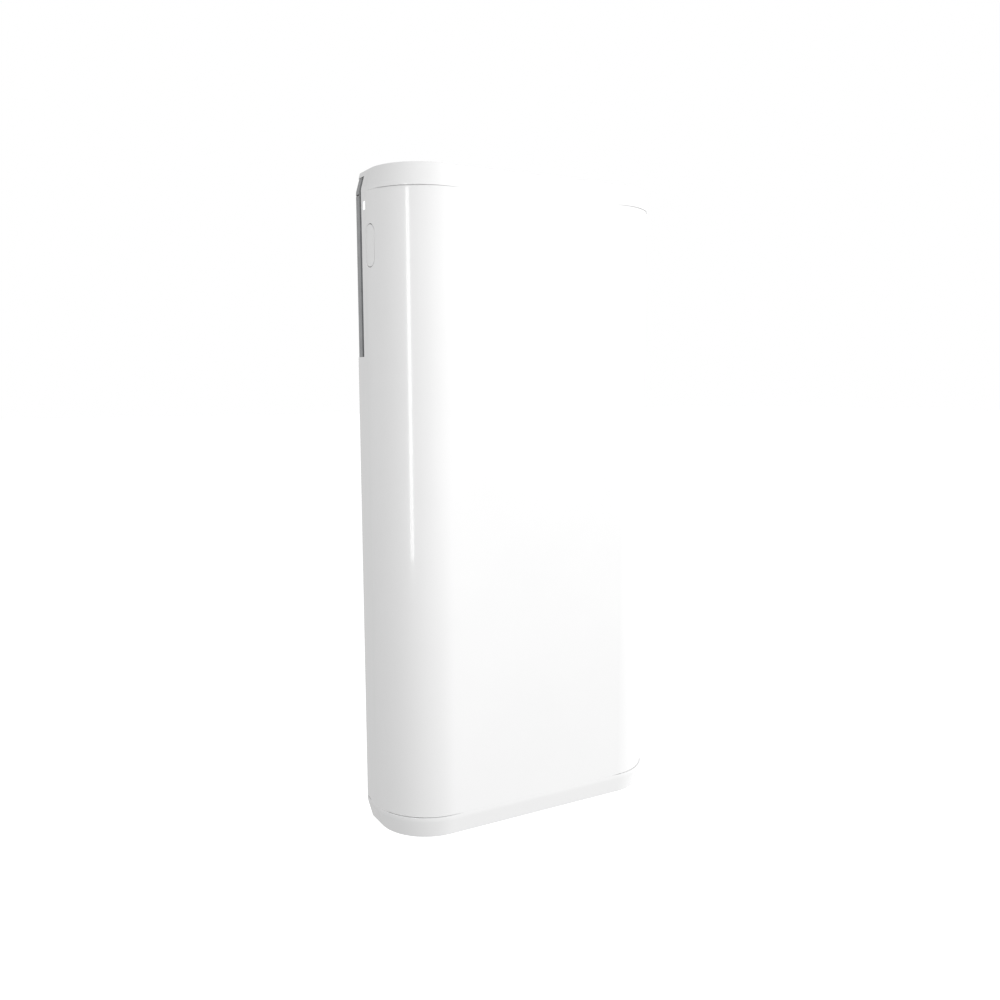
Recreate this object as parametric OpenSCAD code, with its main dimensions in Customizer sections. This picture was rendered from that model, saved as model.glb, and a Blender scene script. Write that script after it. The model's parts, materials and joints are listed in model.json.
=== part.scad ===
// Wall battery unit: a slim storage battery with its own inverter, hung on a wall bracket.
// Millimetres. X runs to the right as seen from the front, -Y is the front, +Z is up.
// The origin is at the bottom of the unit, in the middle of its width and depth,
// so the wall is the plane y = unit_d / 2.

/* [Housing] */
// Overall width
unit_w = 490; // [488:1:520]
// Overall depth, from the front to the wall
unit_d = 145; // [145:1:155]
// Overall height, with both end caps
unit_h = 1000; // [1000:1:1060]
// Radius of the two tall corners at the front
front_r = 93; // [80:1:95]
// Radius of the two tall corners at the wall
rear_r = 18; // [17:1:24]
// Thickness of the painted steel housing
wall_t = 2; // [1.5:0.5:2.5]
// Width of the opening that the housing leaves towards the wall
rear_opening_w = 410; // [400:1:420]

/* [End caps] */
// Height of each end cap
cap_h = 33; // [30:1:36]
// Radius of a cap's two front corners at its seam
cap_front_r = 88; // [75:1:93]
// Slope of a cap's sides, in degrees from upright
cap_draft = 15; // [8:1:16]
// Radius of the bend between the seam and the sloping side
cap_bend_r = 20; // [10:1:25]
// Wall thickness of a cap
cap_t = 2.5; // [2:0.5:3]
// Gap between the housing and a cap
seam_gap = 0.4; // [0.2:0.1:0.6]
// Extra gap at the round corners
corner_gap = 0.6; // [0.4:0.1:1.5]

/* [Power button] */
// Width of the pill-shaped button
button_w = 21; // [20:1:30]
// Height of the button
button_h = 60.5; // [50:0.5:70]
// Centre of the button, measured from the wall
button_from_wall = 65.2; // [62:0.1:66]
// Centre of the button, measured from the top of the unit
button_from_top = 111.5; // [108:0.1:114]
// How far the button moves in
button_travel = 2; // [1:0.5:2.5]

/* [Status light] */
// Width of the light
light_w = 8; // [6:0.5:11]
// Height of the light
light_h = 12; // [8:0.5:14]
// Centre of the light, measured from the wall
light_from_wall = 48.7; // [48:0.1:50]
// Centre of the light, measured from the top of the unit
light_from_top = 52.4; // [51:0.1:54]

/* [Cable entry] */
// Depth of the cable entry strip, measured from the wall
entry_d = 38; // [36:1:39]
// Height of the strip in the housing, below the top cap
entry_h = 238; // [230:1:244]
// Height of the strip's continuation in the top cap
entry_cap_h = 25; // [18:1:26]
// Width of the groove at the strip's front edge
groove_w = 10; // [8:1:12]
// Depth of the groove
groove_d = 8; // [5:1:8]
// How far the strip's skin lies below the housing's surface
entry_step = 1.2; // [0:0.2:1.6]

/* [Battery] */
// Length of a cell, along X
cell_l = 173; // [165:1:174]
// Thickness of a cell, along Z
cell_t = 48; // [44:1:48]
// Height of a cell without its terminals, along Y
cell_h = 108; // [104:1:108]
// Cells above each other in a module
cell_rows = 4; // [3:1:4]

/* [Wall bracket] */
// Width of the wall bracket
bracket_w = 330; // [300:1:340]
// Distance between the fixing slots along X
slot_x = 240; // [200:1:260]
// Distance between the fixing slots along Z
slot_z = 50; // [40:1:52]
// Radius of a slot's round ends
slot_r = 4.5; // [3.5:0.5:5]
// Length of a slot between the centres of its ends
slot_l = 14; // [8:1:20]
// How far the unit is lifted to unhook it
lift_travel = 25; // [22:1:28]

/* [Hidden] */
$fn = 96;
clearance = 0.3;
run_gap = 0.1;
eps = 1;

wall_y = unit_d / 2;
front_y = -unit_d / 2;
seam_low = cap_h;
seam_top = unit_h - cap_h;

// Bends and slopes of a cap's side, as seen in a section
cap_lip = 2.4;
cap_core = 14.5;
function cap_shift(z) =
    cap_bend_r * (1 - cos(cap_draft)) + (z - cap_lip - cap_bend_r * sin(cap_draft)) * tan(cap_draft);
cap_bend = [for (a = [0 : 3 : cap_draft]) [-cap_bend_r * (1 - cos(a)), cap_lip + cap_bend_r * sin(a)]];

// Sheet-metal chassis: a flat plate in front of the wall, with flanges stepping back at the sides
sheet_t = 2;
chassis_y = 58;
chassis_in = chassis_y - sheet_t;
chassis_half = 185;
flange_x = 224;
flange_y = wall_y - wall_t;
base_z = seam_low + 5;
frame_z0 = base_z + sheet_t;
frame_z1 = seam_top - 5;

// Seal between the housing and a cap
seal_w = 5;
seal_h = 3;
rim_w = 6;
rim_h = 2;
seal_inset = wall_t + 0.8;
seal_rear_y = chassis_in - 0.5;

// Cable entry strip, channel and glands
entry_y = wall_y - entry_d;
entry_z0 = seam_top - entry_h;
groove_y = entry_y + groove_w;
trim_t = 2;
entry_x = -unit_w / 2 + groove_d + trim_t;
trim_end_x = -rear_opening_w / 2;
shelf_z = seam_top - 99;
gland_y = 51;
gland_pitch = 23;
gland_x0 = -223;
gland_r = 8;
gland_hex_r = 11;
gland_bore_r = 5;

// Screws
cap_screw_r = 2;
cap_screw_head_r = 4.5;
cap_boss_r = 6.5;
cap_screw_spots = [[-195, -22], [195, -22], [-160, 40], [160, 40]];
post_top = 18;
shell_screw_r = 2.5;
shell_screw_zs = [90, 280, 480, 680];

// Button, light and the board behind them
button_y = wall_y - button_from_wall;
button_z = unit_h - button_from_top;
light_y = wall_y - light_from_wall;
light_z = unit_h - light_from_top;
side_x = -unit_w / 2;
flange_in = 7;
button_flange = 2;
guide_t = 1.2;
board_t = 1.6;
button_stem = 4;
plunger_l = 3;
switch_t = 4;
switch_overlap = 1;
plunger_x = side_x + flange_in + button_flange + button_stem;
board_x = plunger_x + plunger_l + button_travel + switch_t - switch_overlap;
board_y = [button_y - 12, light_y + 6];

// Battery modules
cell_gap_x = 6;
cell_gap_z = 2;
cell_pitch = cell_t + cell_gap_z;
cell_back_y = chassis_in - sheet_t;
cell_front_y = cell_back_y - cell_h;
cell_x = (cell_l + cell_gap_x) / 2;
end_plate_t = 6;
module_h = 2 * end_plate_t + cell_rows * cell_pitch - cell_gap_z;
module_gap = 14;
tray_lip = 5.5;
tray_screw_r = 1.5;
module_zs = [frame_z0 + 6, frame_z0 + 6 + module_h + module_gap];
terminal_dx = 55;
terminal_h = 3;
busbar_t = 2;
busbar_w = 18;
cover_t = 2;
cover_y = cell_front_y - terminal_h - busbar_t - 5;

// Inverter, battery management and switchgear between the modules and the wiring bay
sink_w = 300;
sink_z0 = module_zs[1] + module_h + 20;
sink_z1 = sink_z0 + 225;
sink_base_t = 6;
sink_y = chassis_in - sink_base_t;
fin_pitch = 10;
fin_t = 2;
fin_end_y = wall_y - 2.5;
inverter_y = sink_y - 10;
bms_z0 = sink_z1 + 14;
bms_z1 = shelf_z - 24;
contactor_x = 165;
contactor_z0 = bms_z0;
fuse_x = -195;
fuse_z0 = sink_z0 + 10;

// Wiring bay: a standard 35 x 7.5 mm rail with its devices, and two boards
rail_y = 0;
rail_z = shelf_z + sheet_t;
din_w = 35;
din_h = 7.5;
din_t = 1;
device_z = rail_z + din_h + 0.5;
breaker_x = -20;
breaker_w = 36;
breaker_l = 84;
breaker_h = 68;
breaker_shoulder = 50;
breaker_nose = 45;
pole_dx = 9;
toggle_z = rail_z + breaker_h - 1;
toggle_r = 6;
toggle_w = 25.4;
toggle_rest = 35;
terminal_x0 = 20;
terminal_pitch = 8.4;
terminal_w = 8;
comms_x = [112, 186];
comms_half_y = 30;
grommet_xs = [-80, 40];
grommet_y = -55;
earth_spot = [-110, 30];
socket_x0 = 133;
socket_pitch = 16.5;
socket_w = 16;
socket_y = [5, 19];
socket_h = 18;
socket_wall = 2;

// Wall bracket and the rail that hangs on it
bracket_t = 3;
bracket_z0 = 760;
bracket_z1 = 850;
slots_z = 800;
hook_y = 63;
hanger_half = 160;
hook_h = lift_travel - 7;

// Power cables, from the cells to the contactor or the fuse and on to the breaker
cable_r = 4;
cable_bend = 14;
inner_terminal = cell_x - terminal_dx;
link_z = module_zs[1] - module_gap / 2;
negative_route_low = [
    [-inner_terminal, -50, link_z], [-110, -45, link_z], [-205, -35, link_z],
    [-205, -15, 340], [-205, 0, 440], [fuse_x, 10, fuse_z0 - 4],
];
negative_route_high = [
    [fuse_x, 10, fuse_z0 + 114], [-195, -20, 680], [-165, -40, 800],
    [grommet_xs[0], grommet_y, shelf_z - 24], [grommet_xs[0], grommet_y, shelf_z + 18],
    [breaker_x - 9, rail_y - 66, rail_z + 27], [breaker_x - 9, rail_y - 33, rail_z + 26],
];
positive_route_low = [
    [-inner_terminal, -28, link_z], [60, -30, link_z], [205, -30, link_z],
    [208, -10, 340], [208, 0, 600], [205, -30, 750],
    [contactor_x + 15, -42, 797], [contactor_x + 15, -21, 797],
];
positive_route_high = [
    [contactor_x - 15, -21, 797], [contactor_x - 20, -40, 800], [120, -52, 815],
    [grommet_xs[1], grommet_y, shelf_z - 24], [grommet_xs[1], grommet_y, shelf_z + 18],
    [breaker_x + 9, rail_y - 66, rail_z + 27], [breaker_x + 9, rail_y - 33, rail_z + 26],
];

// ---------------------------------------------------------------- helpers

// A box between two corners, given as ranges along X, Y and Z
module block(x, y, z) {
    translate([x[0], y[0], z[0]]) cube([x[1] - x[0], y[1] - y[0], z[1] - z[0]]);
}

// A flat shape drawn in plan, raised from z0 to z1
module plan(z0, z1) {
    translate([0, 0, z0]) linear_extrude(z1 - z0) children();
}

// A flat shape drawn as (y, z), stretched along X
module along_x(x0, x1) {
    translate([x0, 0, 0]) rotate([90, 0, 90]) linear_extrude(x1 - x0) children();
}

// A cylinder along Y
module rod_y(x, z, r, y0, y1) {
    translate([x, y1, z]) rotate([90, 0, 0]) cylinder(h = y1 - y0, r = r);
}

// Plan outline with large corners at the front and small ones at the wall
module outline(w, d, rf, rr) {
    intersection() {
        translate([-w / 2, -d / 2]) square([w, rf]);
        union() {
            for (side = [-1, 1]) translate([side * (w / 2 - rf), -d / 2 + rf]) circle(rf);
            translate([-w / 2 + rf, -d / 2]) square([w - 2 * rf, rf]);
        }
    }
    for (side = [-1, 1]) translate([side * (w / 2 - rr), d / 2 - rr]) circle(rr);
    translate([-w / 2, -d / 2 + rf]) square([w, d - rf - rr]);
    translate([-w / 2 + rr, 0]) square([w - 2 * rr, d / 2]);
}

module body_plan(inset) {
    outline(unit_w - 2 * inset, unit_d - 2 * inset, front_r - inset, rear_r - inset);
}

module cap_plan(inset) {
    outline(unit_w - 2 * inset, unit_d - 2 * inset, cap_front_r - inset, rear_r - inset);
}

// The child section swept round an outline; its x = 0 lies on the outline
module around(w, d, rf, rr) {
    for (side = [-1, 1]) {
        translate([side * (w / 2 - rf), -d / 2 + rf, 0])
            rotate([0, 0, side > 0 ? 270 : 180])
                rotate_extrude(angle = 90) translate([rf, 0]) children();
        translate([side * (w / 2 - rr), d / 2 - rr, 0])
            rotate([0, 0, side > 0 ? 0 : 90])
                rotate_extrude(angle = 90) translate([rr, 0]) children();
        translate([side * w / 2, (rf - rr) / 2, 0])
            rotate([0, 0, side > 0 ? 0 : 180]) rotate([90, 0, 0])
                linear_extrude(d - rf - rr, center = true) children();
    }
    translate([0, -d / 2, 0]) rotate([0, 0, -90]) rotate([90, 0, 0])
        linear_extrude(w - 2 * rf, center = true) children();
    translate([0, d / 2, 0]) rotate([0, 0, 90]) rotate([90, 0, 0])
        linear_extrude(w - 2 * rr, center = true) children();
}

// Area enclosed by the seal loop: the housing's inside, cut straight at the chassis
// and stepping round the cable entry
module seal_area(inset) {
    difference() {
        body_plan(seal_inset + inset);
        translate([-unit_w / 2, seal_rear_y - inset]) square([unit_w, unit_d]);
        translate([-unit_w, entry_y - 1.5 - inset]) square([unit_w + entry_x + 1 + inset, unit_d]);
    }
}

module seal_loop() {
    difference() {
        seal_area(0);
        seal_area(seal_w);
    }
}

module pill(w, h, grow) {
    for (side = [-1, 1])
        translate([0, side * (h - w) / 2]) circle(w / 2 + grow);
    square([w + 2 * grow, h - w], center = true);
}

module socket_head_screw(r, head_r, head_h, length) {
    difference() {
        union() {
            cylinder(h = head_h, r = head_r);
            translate([0, 0, -length]) cylinder(h = length + eps, r = r);
        }
        translate([0, 0, head_h - 2]) cylinder(h = 2 + eps, r = head_r * 0.5, $fn = 6);
    }
}

// ---------------------------------------------------------------- swept cables

function unit_of(v) = v / norm(v);

// Points of a route with each inner corner rounded over reach
function rounded_route(pts, reach) = [
    pts[0],
    for (i = [1 : len(pts) - 2])
        let (
            a = pts[i] + unit_of(pts[i - 1] - pts[i]) * reach,
            b = pts[i] + unit_of(pts[i + 1] - pts[i]) * reach
        )
        for (t = [0 : 0.25 : 1])
            (1 - t) * (1 - t) * a + 2 * t * (1 - t) * pts[i] + t * t * b,
    pts[len(pts) - 1],
];

function directions(p) = [
    for (i = [0 : len(p) - 1])
        unit_of(p[min(i + 1, len(p) - 1)] - p[max(i - 1, 0)])
];

// A normal for each ring, each turned as little as possible from the one before
function ring_normals(t, first) = [
    for (i = 0, n = unit_of(first - (first * t[0]) * t[0]);
         i < len(t);
         n = i + 1 < len(t) ? unit_of(n - (n * t[i + 1]) * t[i + 1]) : n, i = i + 1)
        n
];

module tube(pts, r, reach) {
    sides = 8;
    p = rounded_route(pts, reach);
    t = directions(p);
    n = ring_normals(t, [0.3, 0.9, 0.2]);
    rings = len(p);
    points = [
        for (i = [0 : rings - 1], k = [0 : sides - 1])
            p[i] + r * (cos(360 * k / sides) * n[i] + sin(360 * k / sides) * cross(t[i], n[i]))
    ];
    faces = concat(
        [[for (k = [0 : sides - 1]) k]],
        [for (i = [0 : rings - 2], k = [0 : sides - 1])
            let (a = i * sides, b = a + sides, next = (k + 1) % sides)
            [a + k, b + k, b + next, a + next]],
        [[for (k = [sides - 1 : -1 : 0]) (rings - 1) * sides + k]]
    );
    polyhedron(points, faces);
}

// ---------------------------------------------------------------- wall side

module wall_bracket() {
    half = bracket_w / 2;
    hook_z = bracket_z1 - bracket_t;
    color("silver") difference() {
        union() {
            block([-half, half], [wall_y - bracket_t, wall_y], [bracket_z0, bracket_z1]);
            block([-half, half], [hook_y, wall_y], [hook_z, bracket_z1]);
            block([-half, half], [hook_y, hook_y + bracket_t], [hook_z, bracket_z1 + hook_h]);
        }
        for (sx = [-1, 1], sz = [-1, 1])
            translate([sx * slot_x / 2, wall_y + eps, slots_z + sz * slot_z / 2])
                rotate([90, 0, 0]) linear_extrude(bracket_t + 2 * eps) {
                    for (end = [-1, 1]) translate([end * slot_l / 2, 0]) circle(slot_r);
                    square([slot_l, 2 * slot_r], center = true);
                }
    }
}

module hanger_rail() {
    lip_y = hook_y + bracket_t + clearance;
    top = bracket_z1 + hook_h + bracket_t;
    color("silver") {
        block([-hanger_half, hanger_half], [chassis_y, chassis_y + 2.5], [bracket_z1 - 20, top + 10]);
        block([-hanger_half, hanger_half], [chassis_y, lip_y + bracket_t],
              [top - bracket_t + run_gap, top]);
        block([-hanger_half, hanger_half], [lip_y, lip_y + bracket_t], [bracket_z1 + 1, top]);
    }
}

module wall_buffers() {
    color("dimgray")
        for (side = [-1, 1])
            rod_y(side * 140, 90, 14, chassis_y, wall_y);
}

// ---------------------------------------------------------------- chassis and housing

module rear_chassis() {
    half = chassis_half;
    fin_half = sink_w / 2 - 8;
    color("lightgray") difference() {
        union() {
            block([-half, half], [chassis_in, chassis_y], [frame_z0, frame_z1]);
            for (side = [-1, 1]) mirror([side < 0 ? 1 : 0, 0, 0]) {
                block([half - sheet_t, half], [chassis_in, flange_y], [frame_z0, frame_z1]);
                block([half - sheet_t, flange_x], [flange_y - sheet_t, flange_y], [frame_z0, frame_z1]);
            }
        }
        // window for the fins
        block([-fin_half, fin_half], [chassis_in - eps, chassis_y + eps], [sink_z0 + 8, sink_z1 - 8]);
        // the left flange makes way for the cable channel
        block([-flange_x - eps, -half], [chassis_in, wall_y], [entry_z0 - 4, shelf_z]);
        // and for the corner trim above the shelf
        block([-flange_x - eps, trim_end_x], [chassis_in, wall_y], [shelf_z - eps, frame_z1 + eps]);
        shell_screw_holes(flange_y - sheet_t - eps, flange_y + eps);
        tray_pins(tray_screw_r + run_gap, chassis_in - eps, chassis_y + eps);
    }
}

module shell_screw_holes(y0, y1) {
    for (side = [-1, 1], z = shell_screw_zs)
        rod_y(side * (rear_opening_w / 2 + 10), z, shell_screw_r + clearance, y0, y1);
}

module shell_screws() {
    head_top = wall_y - 0.2;
    color("silver")
        for (side = [-1, 1], z = shell_screw_zs)
            translate([side * (rear_opening_w / 2 + 10), 0, z]) {
                rod_y(0, 0, shell_screw_r, head_top - 12, head_top);
                rod_y(0, 0, shell_screw_r + clearance, flange_y, head_top);
                translate([0, head_top - 8, 0]) rotate([-90, 0, 0]) cylinder(h = 4, r = 5, $fn = 6);
            }
}

module heat_sink() {
    fins = floor((sink_w - 24) / fin_pitch);
    color("silver") {
        block([-sink_w / 2, sink_w / 2], [sink_y, chassis_in], [sink_z0, sink_z1]);
        for (i = [0 : fins])
            translate([(i - fins / 2) * fin_pitch - fin_t / 2, chassis_in - eps, sink_z0 + 10])
                cube([fin_t, fin_end_y - chassis_in + eps, sink_z1 - sink_z0 - 20]);
    }
}

// Corners where the seam opens: everything outside the flat stretches
module round_corners(z0, z1) {
    for (side = [-1, 1]) mirror([side < 0 ? 1 : 0, 0, 0]) {
        block([unit_w / 2 - front_r, unit_w], [-unit_d, front_y + front_r], [z0, z1]);
        block([unit_w / 2 - rear_r, unit_w], [wall_y - rear_r, unit_d], [z0, z1]);
    }
}

// Flat frame welded inside the housing, which a seal lies on
module seal_rim(z0) {
    plan(z0, z0 + rim_h) difference() {
        body_plan(wall_t + run_gap);
        translate([-unit_w / 2, seal_rear_y]) square([unit_w, unit_d]);
        translate([-unit_w, entry_y - 1.5]) square([unit_w + entry_x + 1, unit_d]);
        seal_area(rim_w);
    }
}

module seal_frames() {
    color("lightgray") {
        seal_rim(seam_low + seal_h);
        seal_rim(seam_top - seal_h - rim_h);
    }
}

module housing_shell() {
    z0 = seam_low + seam_gap;
    z1 = seam_top - seam_gap;
    color("white") difference() {
        plan(z0, z1) difference() {
            body_plan(0);
            body_plan(wall_t);
            translate([-rear_opening_w / 2, 0]) square([rear_opening_w, unit_d]);
        }
        round_corners(z0 - eps, z0 + corner_gap);
        round_corners(z1 - corner_gap, z1 + eps);
        // cable entry
        block([-unit_w, trim_end_x], [entry_y, unit_d], [entry_z0, unit_h]);
        // power button and status light
        along_x(-unit_w, side_x + 20) {
            translate([button_y, button_z]) pill(button_w, button_h, clearance);
            translate([light_y, light_z]) square([light_w + 0.2, light_h + 0.2], center = true);
        }
        shell_screw_holes(wall_y - wall_t - eps, wall_y + eps);
    }
}

module base_plate() {
    color("lightgray") difference() {
        plan(base_z, base_z + sheet_t) difference() {
            body_plan(wall_t + 0.5);
            translate([-unit_w / 2, seal_rear_y]) square([unit_w, unit_d]);
        }
        for (spot = cap_screw_spots) translate([spot[0], spot[1], base_z - eps])
            cylinder(h = sheet_t + 2 * eps, r = cap_screw_r + run_gap);
    }
}

module gaskets() {
    color("dimgray")
        for (z0 = [seam_low, seam_top - seal_h]) plan(z0, z0 + seal_h) seal_loop();
}

// ---------------------------------------------------------------- end caps

// Closed form of a cap, standing on its seam, cut off at height h
module cap_form(inset, h) {
    around(unit_w - 2 * inset, unit_d - 2 * inset, cap_front_r - inset, rear_r - inset)
        polygon(concat([[0, 0]], cap_bend, [[-cap_shift(h), h], [-cap_core, h], [-cap_core, 0]]));
    linear_extrude(h) cap_plan(inset + cap_core - 1);
}

// Recess at the wall that lets air through behind the unit
module air_recess(grow) {
    block([-chassis_half - grow, chassis_half + grow], [chassis_y - grow, unit_d], [-unit_h, unit_h]);
}

// A cap standing on its seam; its screw bosses reach down to boss_z
module cap_shell(boss_z) {
    floor_z = cap_h - cap_t;
    difference() {
        union() {
            difference() {
                cap_form(0, cap_h);
                difference() {
                    translate([0, 0, -eps / 100]) cap_form(cap_t, floor_z);
                    air_recess(cap_t);
                }
            }
            // rib that presses on the seal
            translate([0, 0, clearance]) linear_extrude(cap_t) difference() {
                intersection() {
                    cap_plan(1);
                    seal_area(-seal_inset + 1);
                }
                seal_area(seal_w);
            }
            for (spot = cap_screw_spots)
                translate([spot[0], spot[1], boss_z]) cylinder(h = floor_z + 1 - boss_z, r = cap_boss_r);
        }
        air_recess(0);
        for (spot = cap_screw_spots) translate([spot[0], spot[1], 0]) {
            translate([0, 0, boss_z - eps]) cylinder(h = unit_h, r = cap_screw_r + clearance);
            translate([0, 0, cap_h - 6]) cylinder(h = 6 + eps, r = cap_screw_head_r + clearance);
        }
    }
}

module top_cap() {
    color("white") translate([0, 0, seam_top]) difference() {
        cap_shell(post_top + clearance);
        block([-unit_w, trim_end_x], [entry_y, unit_d], [-eps, entry_cap_h]);
    }
}

module bottom_cap() {
    color("white") translate([0, 0, seam_low]) mirror([0, 0, 1]) cap_shell(seam_low - base_z);
}

module cap_screws() {
    color("silver")
        for (spot = cap_screw_spots)
            translate([spot[0], spot[1], unit_h - 6])
                socket_head_screw(cap_screw_r, cap_screw_head_r, 4, 22);
}

module bottom_cap_screws() {
    color("silver")
        for (spot = cap_screw_spots)
            translate([spot[0], spot[1], 6]) mirror([0, 0, 1])
                socket_head_screw(cap_screw_r, cap_screw_head_r, 4, base_z);
}

module cap_posts() {
    top = seam_top + post_top;
    color("silver")
        for (spot = cap_screw_spots)
            translate([spot[0], spot[1], rail_z]) difference() {
                cylinder(h = top - rail_z, r = 5);
                translate([0, 0, top - rail_z - 16]) cylinder(h = 16 + eps, r = cap_screw_r + run_gap);
            }
}

// ---------------------------------------------------------------- cable entry

// The strip's skin, which follows the housing's corner a little below its surface
module skin_plan(y0) {
    intersection() {
        difference() {
            body_plan(entry_step);
            body_plan(entry_step + trim_t);
        }
        translate([-unit_w, y0]) square([unit_w + trim_end_x - clearance, unit_d]);
    }
}

// Plan of the strip: a groove next to the housing's edge, then its skin
module entry_plan() {
    y0 = entry_y + clearance;
    skin_plan(groove_y);
    translate([side_x + entry_step, groove_y]) square([groove_d + trim_t - entry_step, trim_t]);
    translate([entry_x - trim_t, y0]) square([trim_t, groove_y + trim_t - y0]);
    translate([side_x + wall_t, y0]) square([entry_x - side_x - wall_t, trim_t]);
}

module cable_entry_trim() {
    z0 = entry_z0 + clearance;
    z1 = seam_top - seam_gap;
    color("darkgray") {
        plan(z0, z1) entry_plan();
        // floor that closes its foot
        plan(z0, z0 + trim_t) intersection() {
            body_plan(entry_step + trim_t / 2);
            translate([-unit_w, groove_y]) square([unit_w + trim_end_x - clearance, unit_d]);
        }
    }
}

module cap_entry_trim() {
    z0 = seam_top + clearance;
    z1 = seam_top + entry_cap_h - clearance;
    y0 = entry_y + clearance;
    y1 = groove_y + trim_t;
    color("darkgray") intersection() {
        translate([0, 0, seam_top]) cap_form(entry_step, cap_h);
        union() {
            block([side_x, entry_x], [groove_y, y1], [z0, z1]);
            block([entry_x - trim_t, entry_x], [y0, y1], [z0, z1]);
            plan(z0, z1) difference() {
                body_plan(0);
                body_plan(trim_t + 5);
                translate([-unit_w, -unit_d]) square([2 * unit_w, unit_d + groove_y]);
                translate([trim_end_x - clearance, -unit_d]) square([unit_w, 2 * unit_d]);
            }
        }
    }
}

// Duct that the cables rise in, open towards the wall
module cable_channel() {
    x0 = entry_x + 0.5;
    x1 = -chassis_half - 0.2;
    y0 = entry_y + clearance;
    y1 = flange_y - 0.5;
    z0 = entry_z0 - sheet_t;
    z1 = shelf_z - 0.2;
    color("gray") {
        block([x1 - sheet_t, x1], [y0, y1], [z0, z1]);
        block([x0, x1], [y0, y0 + sheet_t], [z0, z1]);
        plan(z0, entry_z0) intersection() {
            body_plan(wall_t + clearance);
            translate([x0, y0]) square([x1 - x0, y1 - y0]);
        }
    }
}

function gland_spots() = [for (i = [0, 1]) [gland_x0 + i * gland_pitch, gland_y]];

module cable_glands() {
    color("dimgray")
        for (spot = gland_spots()) translate([spot[0], spot[1], shelf_z]) difference() {
            union() {
                translate([0, 0, -6]) cylinder(h = 6, r = gland_hex_r, $fn = 6);
                translate([0, 0, -22]) cylinder(h = 16.5, r = gland_r + 1);
                translate([0, 0, -1]) cylinder(h = 12, r = gland_r);
            }
            translate([0, 0, -30]) cylinder(h = 60, r = gland_bore_r);
        }
}

module gland_locknuts() {
    color("dimgray")
        for (spot = gland_spots()) translate([spot[0], spot[1], rail_z]) difference() {
            cylinder(h = 5, r = gland_hex_r, $fn = 6);
            translate([0, 0, -eps]) cylinder(h = 5 + 2 * eps, r = gland_r);
        }
}

module gland_plugs() {
    color("black")
        for (spot = gland_spots()) translate([spot[0], spot[1], shelf_z - 26]) {
            cylinder(h = 4, r = gland_r - 1);
            cylinder(h = 20, r = gland_bore_r);
        }
}

// ---------------------------------------------------------------- wiring bay

module bay_shelf() {
    color("lightgray") difference() {
        plan(shelf_z, rail_z) difference() {
            body_plan(wall_t + 0.5);
            translate([-chassis_half - 0.3, seal_rear_y]) square([2 * chassis_half + 0.6, unit_d]);
            translate([-unit_w / 2, flange_y - sheet_t - 0.5]) square([unit_w, unit_d]);
            // room for the skin and the groove of the cable entry
            difference() {
                translate([-unit_w, entry_y]) square([unit_w + trim_end_x, unit_d]);
                body_plan(entry_step + trim_t + clearance);
            }
            translate([-unit_w, entry_y - 1]) square([unit_w + entry_x + 0.3, groove_w + 4]);
            // and for the button and its board
            translate([-unit_w, board_y[0] - 6])
                square([unit_w + board_x + board_t + 2, board_y[1] - board_y[0] + 8]);
        }
        for (spot = gland_spots())
            translate([spot[0], spot[1], shelf_z - eps]) cylinder(h = 4, r = gland_r + run_gap);
        for (x = grommet_xs)
            translate([x, grommet_y, shelf_z - eps]) cylinder(h = 4, r = 8);
        translate([earth_spot[0], earth_spot[1], shelf_z - eps]) cylinder(h = 4, r = 3);
    }
}

module shelf_grommets() {
    color("black")
        for (x = grommet_xs) translate([x, grommet_y, shelf_z]) difference() {
            union() {
                translate([0, 0, -2]) cylinder(h = 2, r = 10);
                cylinder(h = sheet_t, r = 8);
                translate([0, 0, sheet_t]) cylinder(h = 2, r = 10);
            }
            translate([0, 0, -4]) cylinder(h = 10, r = 4.5);
        }
}

module din_rail() {
    hat = 27;
    lip = (din_w - hat) / 2 + din_t / 2;
    color("silver") along_x(-90, 100) {
        translate([rail_y - hat / 2, rail_z]) square([hat, din_t]);
        for (side = [-1, 1]) {
            translate([rail_y + side * (hat - din_t) / 2 - din_t / 2, rail_z]) square([din_t, din_h]);
            translate([rail_y + side * (din_w - lip) / 2 - lip / 2, rail_z + din_h - din_t])
                square([lip, din_t]);
        }
    }
}

module dc_breaker() {
    half_w = breaker_w / 2;
    half_l = breaker_l / 2;
    pocket_w = toggle_w + 2 * clearance;
    color("whitesmoke") difference() {
        translate([breaker_x, rail_y, 0]) {
            block([-half_w, half_w], [-half_l, half_l], [device_z, rail_z + breaker_shoulder]);
            block([-half_w, half_w], [-breaker_nose / 2, breaker_nose / 2], [device_z, rail_z + breaker_h]);
        }
        translate([breaker_x - pocket_w / 2, rail_y, toggle_z])
            rotate([0, 90, 0]) cylinder(h = pocket_w, r = toggle_r + clearance);
        for (end = [0, 180], pole = [-1, 1])
            translate([breaker_x, rail_y, rail_z]) rotate([0, 0, end])
            translate([pole * pole_dx, half_l, 0]) {
                // screw well, then the opening that a wire end goes into
                translate([0, -10, 34]) cylinder(h = 20, r = 3.5);
                block([-5, 5], [-12, eps], [20, 31]);
            }
    }
}

module breaker_toggle() {
    color("royalblue")
        translate([breaker_x - toggle_w / 2, rail_y, toggle_z]) rotate([-toggle_rest, 0, 0]) {
            rotate([0, 90, 0]) cylinder(h = toggle_w, r = toggle_r);
            translate([0, -2.5, 0]) cube([toggle_w, 5, 15]);
        }
}

module terminal_blocks() {
    depth = 50;
    color("gray")
        for (i = [0 : 5]) translate([terminal_x0 + i * terminal_pitch, rail_y, device_z]) difference() {
            translate([0, -depth / 2, 0]) cube([terminal_w, depth, 38]);
            for (side = [-1, 1]) {
                translate([terminal_w / 2, side * 16, 18]) cylinder(h = 30, r = 2.5);
                translate([1.5, side > 0 ? 15 : -30, 8]) cube([5, 15, 7]);
            }
        }
}

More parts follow.
